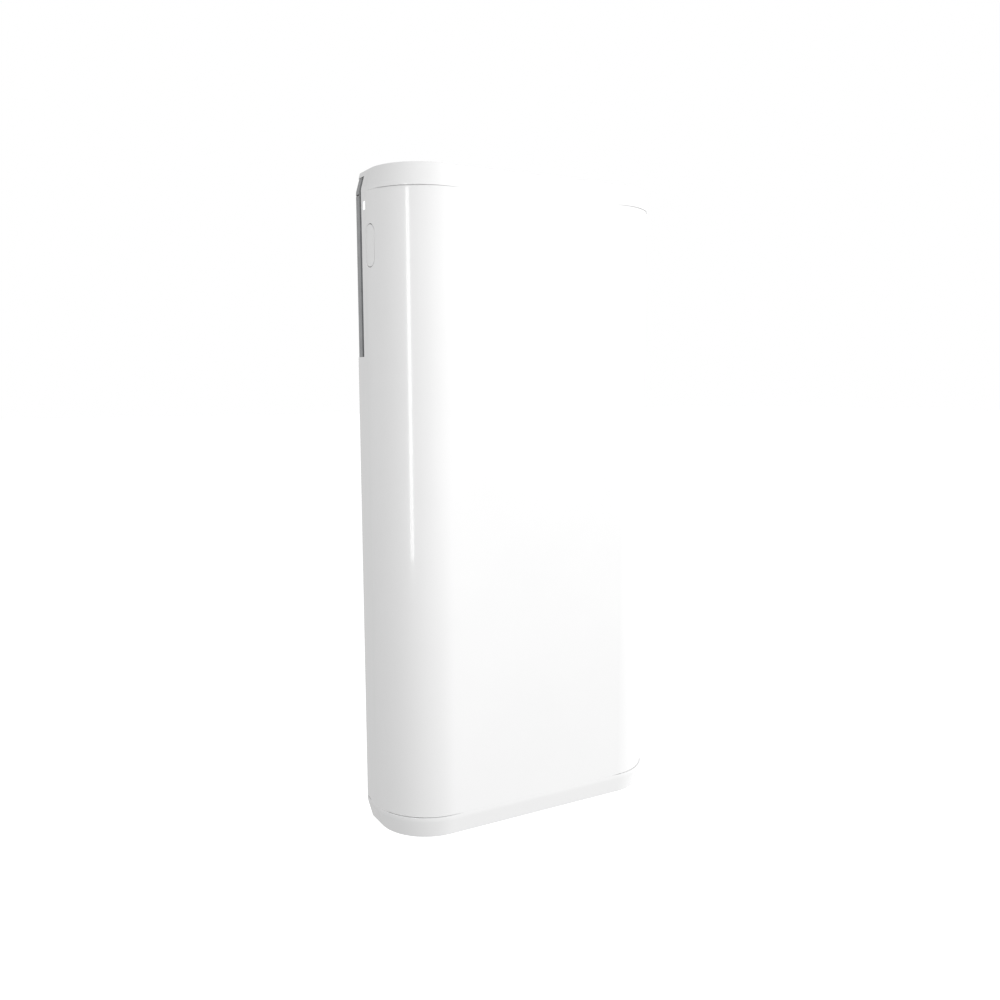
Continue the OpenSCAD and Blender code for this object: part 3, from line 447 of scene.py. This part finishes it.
def cap_shift(height):
    """Inward shift of a cap's side at a height above the seam."""
    rows = cap_profile()
    for (z0, x0), (z1, x1) in zip(rows, rows[1:]):
        if z0 <= height <= z1:
            return x0 + (x1 - x0) * (height - z0) / (z1 - z0)
    return rows[-1][1]


# Wells of the four cap screws, with a rounded edge that has rings of points at these distances
SCREW_SPOTS = [(-195.0, -22.0), (195.0, -22.0), (-160.0, 40.0), (160.0, 40.0)]
SCREW_WELL_R = 4.8
WELL_EDGE_R = 0.4
WELL_RINGS = (0, 0.1, WELL_EDGE_R)


def circle_loop(centre, radius, steps=40):
    """Points round a circle."""
    angles = [2 * math.pi * i / steps for i in range(steps)]
    return [(centre[0] + radius * math.cos(a), centre[1] + radius * math.sin(a)) for a in angles]


def cap_skin(name, seam_z, direction, with_entry):
    """An end cap standing on its seam, upwards (direction 1) or downwards (-1)."""
    nodes = outline_nodes(CAP_FRONT_R, rear_stops=[RECESS_HALF, REAR_OPENING], left_stops=[ENTRY_Y])
    kept = [n for n in nodes if abs(n[0][0]) >= RECESS_HALF - SLACK or n[0][1] <= 0]
    rows = cap_profile()

    def column_places(i, z, shift):
        """Outer and inner plan point of column i; the first and last two run round the air recess."""
        inner_z = min(z, CAP_H - CAP_WALL)
        if i == 0 or i == len(kept) + 1:
            side = -1 if i == 0 else 1
            outer = (side * RECESS_HALF, RECESS_Y)
            inner = (side * (RECESS_HALF + CAP_WALL), RECESS_Y - CAP_WALL)
            return outer, inner, inner_z
        node = kept[i - 1]
        outer = inset(node, shift)
        inner = inset(node, cap_shift(inner_z) + CAP_WALL)
        if i in (1, len(kept)):
            side = -1 if i == 1 else 1
            inner = (side * (RECESS_HALF + CAP_WALL), inner[1])
        return outer, inner, inner_z

    skin = Skin()
    grid = []
    for i in range(len(kept) + 2):
        column = []
        for z, shift in rows:
            outer, inner, inner_z = column_places(i, z, shift)
            column.append(skin.vertex(
                (*outer, seam_z + direction * z), (*inner, seam_z + direction * inner_z)))
        grid.append(column)
    entry_row = next(i for i, (z, _) in enumerate(rows) if z == ENTRY_CAP_H)
    entry_from = next(i for i, n in enumerate(kept) if abs(n[0][0] - ENTRY_X) < TINY) + 1
    entry_to = next(i for i, n in enumerate(kept) if abs(n[0][1] - ENTRY_Y) < TINY and n[0][0] < 0) + 1
    for i in range(len(grid)):
        following = (i + 1) % len(grid)
        for j in range(len(rows) - 1):
            if with_entry and entry_from <= i < entry_to and j < entry_row:
                continue
            loop = (grid[i][j], grid[following][j], grid[following][j + 1], grid[i][j + 1])
            skin.face(*(loop if direction > 0 else reversed(loop)))

    # the flat end, with a well for each screw
    rim = [skin.outer[column[-1]][:2] for column in grid]
    wells = [circle_loop(spot, SCREW_WELL_R + grow) for spot in SCREW_SPOTS for grow in WELL_RINGS]

    def well_distance(x, y):
        return min(math.dist((x, y), spot) for spot in SCREW_SPOTS) - SCREW_WELL_R

    def on_end(x, y):
        in_recess = y > RECESS_Y and abs(x) < RECESS_HALF
        return well_distance(x, y) >= 0 and not in_recess

    points, faces = triangulated([rim, *wells], [], on_end)
    used = {}
    end_z = rows[-1][0]
    for i in {i for face in faces for i in face}:
        x, y = points[i]
        drop = rounding(max(well_distance(x, y), 0), WELL_EDGE_R)
        used[i] = skin.vertex(
            (x, y, seam_z + direction * (end_z - drop)), (x, y, seam_z + direction * (CAP_H - CAP_WALL)))
    for face in faces:
        loop = [used[i] for i in face]
        skin.face(*(loop if direction > 0 else reversed(loop)))
    return skin.build(name)


# ---------------------------------------------------------------- cable entry strip

def entry_section():
    """(node, depth, in skin) round the strip's section: groove, skin round the corner, and back inside."""
    y0, y1 = ENTRY_Y + STRIP_SIDE_GAP, ENTRY_Y + GROOVE_W
    trim, step = ENTRY_SHEET, ENTRY_STEP
    under = WALL + 0.05  # depth of the groove's front edge, just behind the sheet
    wall = 0.5  # thickness of the groove's front wall
    bevel, middle = 0.6, 0.17  # size of a broken edge, and how far in its middle lies where it is rounded
    skin_from = y1 + 1.0
    nodes = outline_nodes(FRONT_R, rear_stops=[REAR_OPENING + 0.3])
    skin_nodes = [n for n in nodes if n[0][0] < ENTRY_X - 0.1 and n[0][1] > skin_from]
    skin_nodes.reverse()
    flat = lambda y: ((-HALF_W, y), (-1, 0), 0.0)
    groove = [
        (flat(y0), under),
        (flat(y0 + wall), under),
        (flat(y0 + wall), GROOVE_D - bevel),
        (flat(y0 + wall + bevel), GROOVE_D),
        (flat(y1 - bevel), GROOVE_D),
        (flat(y1), GROOVE_D - bevel),
        (flat(y1), step + bevel),
        (flat(y1 + middle), step + middle),
        (flat(y1 + bevel), step),
    ]
    skin = [(flat(skin_from), step), *[(n, step) for n in skin_nodes]]
    skin += [(n, step + trim) for n in reversed(skin_nodes)]
    back = [(flat(y1 + trim), step + trim), (flat(y1 + trim), GROOVE_D + trim), (flat(y0), GROOVE_D + trim)]
    return [(n, depth, any(n is s[0] for s in skin)) for n, depth in [*groove, *skin, *back]]


def strip_skin(name, levels, skin_ends):
    """The entry strip between levels, each a (z, inward shift), closed at both ends. Its skin may end before
    its groove, at the two values of z in skin_ends."""
    section = entry_section()
    count = len(section)
    points = []
    for z, shift in levels:
        skin_z = min(max(z, skin_ends[0]), skin_ends[1])
        for node, depth, in_skin in section:
            points.append((*inset(node, depth + shift), skin_z if in_skin else z))
    faces = []
    for level in range(len(levels) - 1):
        low, high = level * count, (level + 1) * count
        for i in range(count):
            k = (i + 1) % count
            faces.append((low + i, low + k, high + k, high + i))
    for level in (0, len(levels) - 1):
        first = level * count
        flat_points = [Vector(points[first + i][:2]) for i in range(count)]
        edges = [(i, (i + 1) % count) for i in range(count)]
        _, _, ends, origins, *_ = delaunay_2d_cdt(flat_points, edges, [], 1, TINY)
        faces += [tuple(first + origins[i][0] for i in face) for face in ends]
    return mesh_object(name, points, faces)


def entry_strip_skin():
    """The strip's long piece, in the housing."""
    levels = [(ENTRY_Z + STRIP_LOW_GAP, 0), (SEAM_TOP - STRIP_SEAM_GAP, 0)]
    return strip_skin("entry_strip", levels, (ENTRY_Z, SEAM_TOP - STRIP_GAP))


def cap_strip_skin():
    """The strip's short piece, in the top cap, which leans in with the cap's side."""
    last = ENTRY_CAP_H - STRIP_HIGH_GAP
    rise = [(z, shift) for z, shift in cap_profile() if SEAM_EDGE_R < z < last]
    rise = [(STRIP_SEAM_GAP, 0), *rise, (last, cap_shift(last))]
    levels = [(SEAM_TOP + z, shift) for z, shift in rise]
    return strip_skin("entry_strip_cap", levels, (SEAM_TOP + STRIP_CAP_GAP, UNIT_H))


# ---------------------------------------------------------------- button and light

def plug_skin(name, loops, distance, edge_r, back_x, step=2.4):
    """A block that fills a hole in the housing's left side: its face follows the side, its back is flat.
    The face has an upright line of points every step, so that it bends with the side."""
    skin = Skin()
    outer = loops[0]
    ys = [p[0] for p in outer]
    zs = [p[1] for p in outer]
    columns = [min(ys) + step * (i + 0.5) for i in range(int((max(ys) - min(ys)) / step))]
    lines = [((y, min(zs) - 1), (y, max(zs) + 1)) for y in columns]
    points, faces = triangulated(loops, lines, lambda y, z: distance(y, z) < 0)
    used = {}
    for i in {i for face in faces for i in face}:
        y, z = points[i]
        drop = rounding(max(-distance(y, z), 0), edge_r)
        used[i] = skin.vertex((left_x(y) + drop, y, z), (back_x, y, z))
    for face in faces:
        skin.face(*[used[i] for i in reversed(face)])
    return skin.build(name)


def button_skin():
    """The power button's face, a pill bent round the corner."""
    distance = lambda y, z: pill_distance(y - BUTTON_Y, z - BUTTON_Z, BUTTON_W, BUTTON_H)
    loops = [pill_loop(-BUTTON_EDGE_R * share) for share in BUTTON_RINGS]
    return plug_skin("button_face", loops, distance, BUTTON_EDGE_R, -HALF_W + BUTTON_BACK)


def light_skin():
    """The status light's lens, a small upright rectangle."""
    distance = lambda y, z: panel_distance(y - LIGHT_Y, z - LIGHT_Z, LIGHT_W, LIGHT_H, LIGHT_CORNER)
    loops = [panel_loop(-LIGHT_EDGE_R * share) for share in LIGHT_RINGS]
    return plug_skin("light_lens", loops, distance, LIGHT_EDGE_R, -HALF_W + LIGHT_BACK)


# ---------------------------------------------------------------- materials

class Shader:
    """A material with a Principled shader, and short ways to feed its sockets."""

    def __init__(self, name, colour, rough, metallic=0.0):
        self.material = bpy.data.materials.new(name)
        self.material.use_nodes = True
        self.nodes = self.material.node_tree.nodes
        self.links = self.material.node_tree.links
        self.principled = self.nodes["Principled BSDF"]
        self.place = self.nodes.new("ShaderNodeTexCoord").outputs["Object"]
        self.set("Base Color", (*colour, 1))
        self.set("Roughness", rough)
        self.set("Metallic", metallic)

    def set(self, socket, value):
        self.principled.inputs[socket].default_value = value

    def feed(self, socket, output):
        self.links.new(output, self.principled.inputs[socket])

    def stretched(self, scale):
        """Object coordinates scaled by a vector, for grain that runs one way."""
        mapping = self.nodes.new("ShaderNodeMapping")
        mapping.inputs["Scale"].default_value = scale
        self.links.new(self.place, mapping.inputs["Vector"])
        return mapping.outputs["Vector"]

    def noise(self, scale, detail=3.0, rough=0.5, where=None):
        node = self.nodes.new("ShaderNodeTexNoise")
        node.inputs["Scale"].default_value = scale
        node.inputs["Detail"].default_value = detail
        node.inputs["Roughness"].default_value = rough
        self.links.new(where or self.place, node.inputs["Vector"])
        return node.outputs["Fac"]

    def cells(self, scale, feature="F1", output="Color", where=None):
        node = self.nodes.new("ShaderNodeTexVoronoi")
        node.feature = feature
        node.inputs["Scale"].default_value = scale
        self.links.new(where or self.place, node.inputs["Vector"])
        return node.outputs[output]

    def ramp(self, value, stops):
        """A colour ramp over value; stops are (position, colour or grey)."""
        node = self.nodes.new("ShaderNodeValToRGB")
        self.links.new(value, node.inputs["Fac"])
        elements = node.color_ramp.elements
        while len(elements) < len(stops):
            elements.new(0.5)
        for element, (position, colour) in zip(elements, stops):
            grey = isinstance(colour, (int, float))
            element.position = position
            element.color = (colour, colour, colour, 1) if grey else (*colour, 1)
        return node.outputs["Color"]

    def bump(self, height, distance, strength=1.0, normal=None):
        node = self.nodes.new("ShaderNodeBump")
        node.inputs["Distance"].default_value = distance
        node.inputs["Strength"].default_value = strength
        self.links.new(height, node.inputs["Height"])
        if normal is not None:
            self.links.new(normal, node.inputs["Normal"])
        return node.outputs["Normal"]


def tinted(colour, factor):
    """The colour made lighter or darker by a factor."""
    return tuple(min(1.0, c * factor) for c in colour)


def gloss_white(name, colour, peel_mm, rough):
    """Glossy white coating: faint orange peel, faint clouding, and gloss that varies slightly."""
    s = Shader(name, colour, rough)
    s.feed("Base Color", s.ramp(s.noise(7), [(0.3, tinted(colour, 0.985)), (0.7, colour)]))
    s.feed("Roughness", s.ramp(s.noise(28, 4), [(0.3, rough - 0.03), (0.7, rough + 0.04)]))
    s.feed("Normal", s.bump(s.noise(1 / (peel_mm * MM), 2), 0.00002, 0.35))
    s.set("Coat Weight", 0.8)
    s.set("Coat Roughness", 0.05)
    return s.material


def moulded(name, colour, rough=0.5, grain_mm=0.35, grain=0.00004):
    """Moulded plastic with a fine spark-eroded grain."""
    s = Shader(name, colour, rough)
    s.feed("Base Color", s.ramp(s.noise(45, 4), [(0.3, tinted(colour, 0.88)), (0.7, tinted(colour, 1.08))]))
    s.feed("Roughness", s.ramp(s.noise(160, 3), [(0.3, rough - 0.06), (0.7, rough + 0.08)]))
    s.feed("Normal", s.bump(s.noise(1 / (grain_mm * MM), 3), grain, 0.6))
    return s.material


def rubber(name, colour, rough=0.7):
    """Matt rubber, also the jacket of a cable."""
    s = Shader(name, colour, rough)
    s.feed("Base Color", s.ramp(s.noise(90, 5), [(0.35, tinted(colour, 0.7)), (0.75, tinted(colour, 1.6))]))
    s.feed("Normal", s.bump(s.noise(900, 2), 0.00006, 0.5))
    return s.material


def zinc_steel(name, colour=(0.62, 0.64, 0.66)):
    """Zinc-plated sheet: spangled grain, slight clouding and fine rolling marks."""
    s = Shader(name, colour, 0.36, 1.0)
    grain = s.cells(340)
    s.feed("Base Color", s.ramp(grain, [(0.2, tinted(colour, 0.94)), (0.8, tinted(colour, 1.04))]))
    s.feed("Roughness", s.ramp(s.noise(60, 5), [(0.3, 0.28), (0.7, 0.46)]))
    s.feed("Normal", s.bump(s.noise(60, 3, where=s.stretched((1, 1, 30))), 0.00004, 0.4))
    return s.material


def brushed(name, colour, scale=(1, 1, 40), rough=0.3):
    """Brushed or extruded metal with grain along one axis."""
    s = Shader(name, colour, rough, 1.0)
    lines = s.noise(40, 6, 0.7, where=s.stretched(scale))
    s.feed("Base Color", s.ramp(lines, [(0.3, tinted(colour, 0.88)), (0.7, tinted(colour, 1.08))]))
    s.feed("Roughness", s.ramp(lines, [(0.3, rough - 0.06), (0.7, rough + 0.12)]))
    s.feed("Normal", s.bump(lines, 0.00004, 0.5))
    return s.material


def circuit_board(name, colour=(0.012, 0.11, 0.045)):
    """Green solder mask over copper tracks, with tinned pads."""
    s = Shader(name, colour, 0.32)
    tracks = s.cells(260, "DISTANCE_TO_EDGE", "Distance")
    tint = s.ramp(tracks, [(0.04, tinted(colour, 1.9)), (0.09, colour)])
    pads = s.ramp(s.cells(190, output="Distance"), [(0.10, 1.0), (0.13, 0.0)])
    mix = s.nodes.new("ShaderNodeMix")
    mix.data_type = "RGBA"
    s.links.new(pads, mix.inputs["Factor"])
    s.links.new(tint, mix.inputs["A"])
    mix.inputs["B"].default_value = (0.55, 0.5, 0.36, 1)
    s.feed("Base Color", mix.outputs["Result"])
    s.feed("Metallic", pads)
    s.feed("Normal", s.bump(tracks, 0.0001, 0.3))
    s.set("Coat Weight", 0.4)
    return s.material


def cell_film(name, colour=(0.02, 0.10, 0.33)):
    """Blue film shrunk over a cell's case, slightly wavy."""
    s = Shader(name, colour, 0.3)
    s.feed("Base Color", s.ramp(s.noise(18, 4), [(0.3, tinted(colour, 0.85)), (0.7, tinted(colour, 1.15))]))
    s.feed("Normal", s.bump(s.noise(70, 2), 0.0004, 0.25))
    s.set("Coat Weight", 0.5)
    return s.material


def winding(name, colour=(0.62, 0.26, 0.10)):
    """Enamelled copper wire, wound round a core, with painted shade: the grooves between turns are darker in
    colour.
    """
    s = Shader(name, colour, 0.28, 1.0)
    wave = s.nodes.new("ShaderNodeTexWave")
    wave.wave_type = "BANDS"
    wave.bands_direction = "DIAGONAL"
    wave.inputs["Scale"].default_value = 160
    wave.inputs["Distortion"].default_value = 1.5
    s.links.new(s.place, wave.inputs["Vector"])
    # painted shade: the colour darkens to about a third in the low bands between turns, where shade falls
    s.feed("Base Color", s.ramp(wave.outputs["Fac"], [(0.1, tinted(colour, 0.35)), (0.6, colour)]))
    s.feed("Normal", s.bump(wave.outputs["Fac"], 0.0006, 0.7))
    return s.material


def glowing(name, colour, strength):
    """White diffuser of the status light, lit from behind."""
    s = Shader(name, colour, 0.25)
    s.feed("Base Color", s.ramp(s.noise(300, 2), [(0.3, tinted(colour, 0.96)), (0.7, colour)]))
    s.set("Emission Color", (1, 1, 1, 1))
    s.set("Emission Strength", strength)
    s.set("Subsurface Weight", 0.1)
    return s.material


WHITE = (0.86, 0.86, 0.86)
FINISHES = {
    "white_paint": gloss_white("white_paint", WHITE, 2.6, 0.2),
    "white_plastic": gloss_white("white_plastic", WHITE, 1.4, 0.22),
    "grey_plastic": moulded("grey_plastic", (0.33, 0.335, 0.34), 0.5),
    "black_rubber": rubber("black_rubber", (0.02, 0.02, 0.02)),
    "zinc_steel": zinc_steel("zinc_steel"),
    "aluminium": brushed("aluminium", (0.72, 0.73, 0.74)),
    "screw_steel": brushed("screw_steel", (0.55, 0.56, 0.58), (30, 30, 1), 0.32),
    "gland_plastic": moulded("gland_plastic", (0.06, 0.06, 0.065), 0.42),
    "black_plastic": moulded("black_plastic", (0.02, 0.02, 0.02), 0.45),
    "device_plastic": moulded("device_plastic", (0.62, 0.62, 0.60), 0.42),
    "terminal_plastic": moulded("terminal_plastic", (0.22, 0.23, 0.25), 0.45),
    "circuit_board": circuit_board("circuit_board"),
    "brass": brushed("brass", (0.72, 0.50, 0.20), (1, 1, 40), 0.28),
    "lens_plastic": glowing("lens_plastic", (0.9, 0.9, 0.9), 0.43),
    "cell_case": cell_film("cell_case"),
    "busbar_metal": brushed("busbar_metal", (0.70, 0.71, 0.73), (30, 30, 1), 0.3),
    "cover_plastic": moulded("cover_plastic", (0.04, 0.04, 0.045), 0.5),
    "capacitor_sleeve": cell_film("capacitor_sleeve", (0.012, 0.014, 0.03)),
    "copper_winding": winding("copper_winding"),
    "fuse_ceramic": moulded("fuse_ceramic", (0.74, 0.71, 0.62), 0.3),
    "red_cable": rubber("red_cable", (0.40, 0.012, 0.01), 0.45),
    "black_cable": rubber("black_cable", (0.015, 0.015, 0.015), 0.45),
    "red_plastic": moulded("red_plastic", (0.5, 0.03, 0.02), 0.4),
    "blue_plastic": moulded("blue_plastic", (0.02, 0.08, 0.35), 0.4),
}


def finish(piece, slot):
    """Gives a piece the material of its slot."""
    piece.data.materials.clear()
    piece.data.materials.append(FINISHES[slot])


def add_piece(piece, body, slot, *nodes):
    """Gives a new piece its finish, its body and the CAD nodes that it stands for."""
    finish(piece, slot)
    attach(piece, body)
    if nodes:
        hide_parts(*nodes)
    return piece


def dress_cad_nodes():
    """Each CAD node takes the procedural material of its slot in the record."""
    for row in frame["record"]["subparts"]:
        node = frame["nodes"][row["node"]]
        material = FINISHES[row["material_slot"]]
        if not node.material_slots:
            node.data.materials.append(material)
        for place in node.material_slots:
            place.material = material


# ---------------------------------------------------------------- stage, lights and camera

def add_camera():
    """The photograph's camera, fitted to the object's outline."""
    data = bpy.data.cameras.new("camera")
    data.lens = 34.585
    data.sensor_width = 36.0
    data.clip_start = 0.05
    camera = bpy.data.objects.new("camera", data)
    place = Vector((-0.785, -1.3303, 0.6818))
    target = Vector((-0.0321, 0.0, 0.5036))
    roll = -0.00424
    turn = (target - place).to_track_quat("-Z", "Y")
    camera.rotation_mode = "QUATERNION"
    camera.rotation_quaternion = turn @ Quaternion((0, 0, 1), roll)
    camera.location = place
    bpy.context.scene.collection.objects.link(camera)
    bpy.context.scene.camera = camera


def add_floor():
    """A pale floor 0.45 m below the unit, which hangs on a wall."""
    size, drop = 40.0, 0.45
    points = [(-size, -size), (size, -size), (size, size), (-size, size)]
    floor = mesh_object("floor", [(x / MM, y / MM, -drop / MM) for x, y in points], [(0, 1, 2, 3)])
    s = Shader("floor", (0.95, 0.95, 0.95), 0.9)
    s.feed("Base Color", s.ramp(s.noise(3), [(0.3, (0.94, 0.94, 0.94)), (0.7, (0.96, 0.96, 0.96))]))
    s.set("Emission Color", (1, 1, 1, 1))
    s.set("Emission Strength", 0.35)
    floor.data.materials.append(s.material)
    floor.visible_diffuse = False
    floor.visible_glossy = False


def add_light(name, place, target, width, height, power, reflected=False):
    """A rectangular soft light that faces target; reflected says whether the coating mirrors it."""
    data = bpy.data.lights.new(name, "AREA")
    data.shape = "RECTANGLE"
    data.size, data.size_y = width, height
    data.energy = power
    light = bpy.data.objects.new(name, data)
    light.location = place
    light.rotation_mode = "QUATERNION"
    light.rotation_quaternion = (Vector(target) - Vector(place)).to_track_quat("-Z", "Y")
    light.visible_glossy = reflected
    bpy.context.scene.collection.objects.link(light)


def add_world():
    """White surroundings: pure white behind the object, softer and brighter from the right for its light."""
    world = bpy.data.worlds.new("surroundings")
    world.use_nodes = True
    nodes, links = world.node_tree.nodes, world.node_tree.links

    shown = nodes["Background"]
    shown.inputs["Color"].default_value = (1, 1, 1, 1)
    shown.inputs["Strength"].default_value = 1.0

    ambient, from_right = 0.59, 0.78
    direction = nodes.new("ShaderNodeSeparateXYZ")
    links.new(nodes.new("ShaderNodeTexCoord").outputs["Generated"], direction.inputs[0])
    level = nodes.new("ShaderNodeMapRange")
    level.inputs["To Min"].default_value = ambient
    level.inputs["To Max"].default_value = ambient + from_right
    links.new(direction.outputs["X"], level.inputs["Value"])
    soft = nodes.new("ShaderNodeBackground")
    soft.inputs["Color"].default_value = (1, 1, 1, 1)
    links.new(level.outputs["Result"], soft.inputs["Strength"])

    path = nodes.new("ShaderNodeLightPath")
    mix = nodes.new("ShaderNodeMixShader")
    links.new(path.outputs["Is Camera Ray"], mix.inputs["Fac"])
    links.new(soft.outputs[0], mix.inputs[1])
    links.new(shown.outputs[0], mix.inputs[2])
    links.new(mix.outputs[0], nodes["World Output"].inputs["Surface"])
    bpy.context.scene.world = world
    bpy.context.scene.view_settings.view_transform = "Standard"


# ---------------------------------------------------------------- assembly

dress_cad_nodes()
add_piece(housing_skin(), "unit", "white_paint", "housing_shell")
add_piece(cap_skin("top_cap_skin", SEAM_TOP, 1, True), "cap", "white_plastic", "top_cap")
add_piece(cap_skin("bottom_cap_skin", SEAM_LOW, -1, False), "unit", "white_plastic", "bottom_cap")
add_piece(entry_strip_skin(), "unit", "grey_plastic", "cable_entry_trim")
add_piece(cap_strip_skin(), "cap", "grey_plastic", "cap_entry_trim")
add_piece(button_skin(), "button", "white_plastic", "power_button")
add_piece(light_skin(), "unit", "lens_plastic", "status_light_lens")

add_world()
add_floor()
add_light("key", (1.6, -2.6, 1.9), (0, 0, 0.6), 1.6, 1.6, 20.0)
add_light("overhead", (0.6, -2.0, 2.0), (0, 0, 0.6), 1.2, 1.2, 6.0)
add_light("front", (0.0, -1.6, 0.75), (0, 0, 0.75), 1.0, 1.0, 5.6)
add_light("rear_side", (-1.4, 1.2, 0.85), (-0.2, 0, 0.75), 0.9, 0.9, 4.0)
add_light("strip", (-1.489, -1.015, 0.72), (-0.211, -0.052, 0.72), 0.19, 1.15, 2.9, reflected=True)
add_camera()
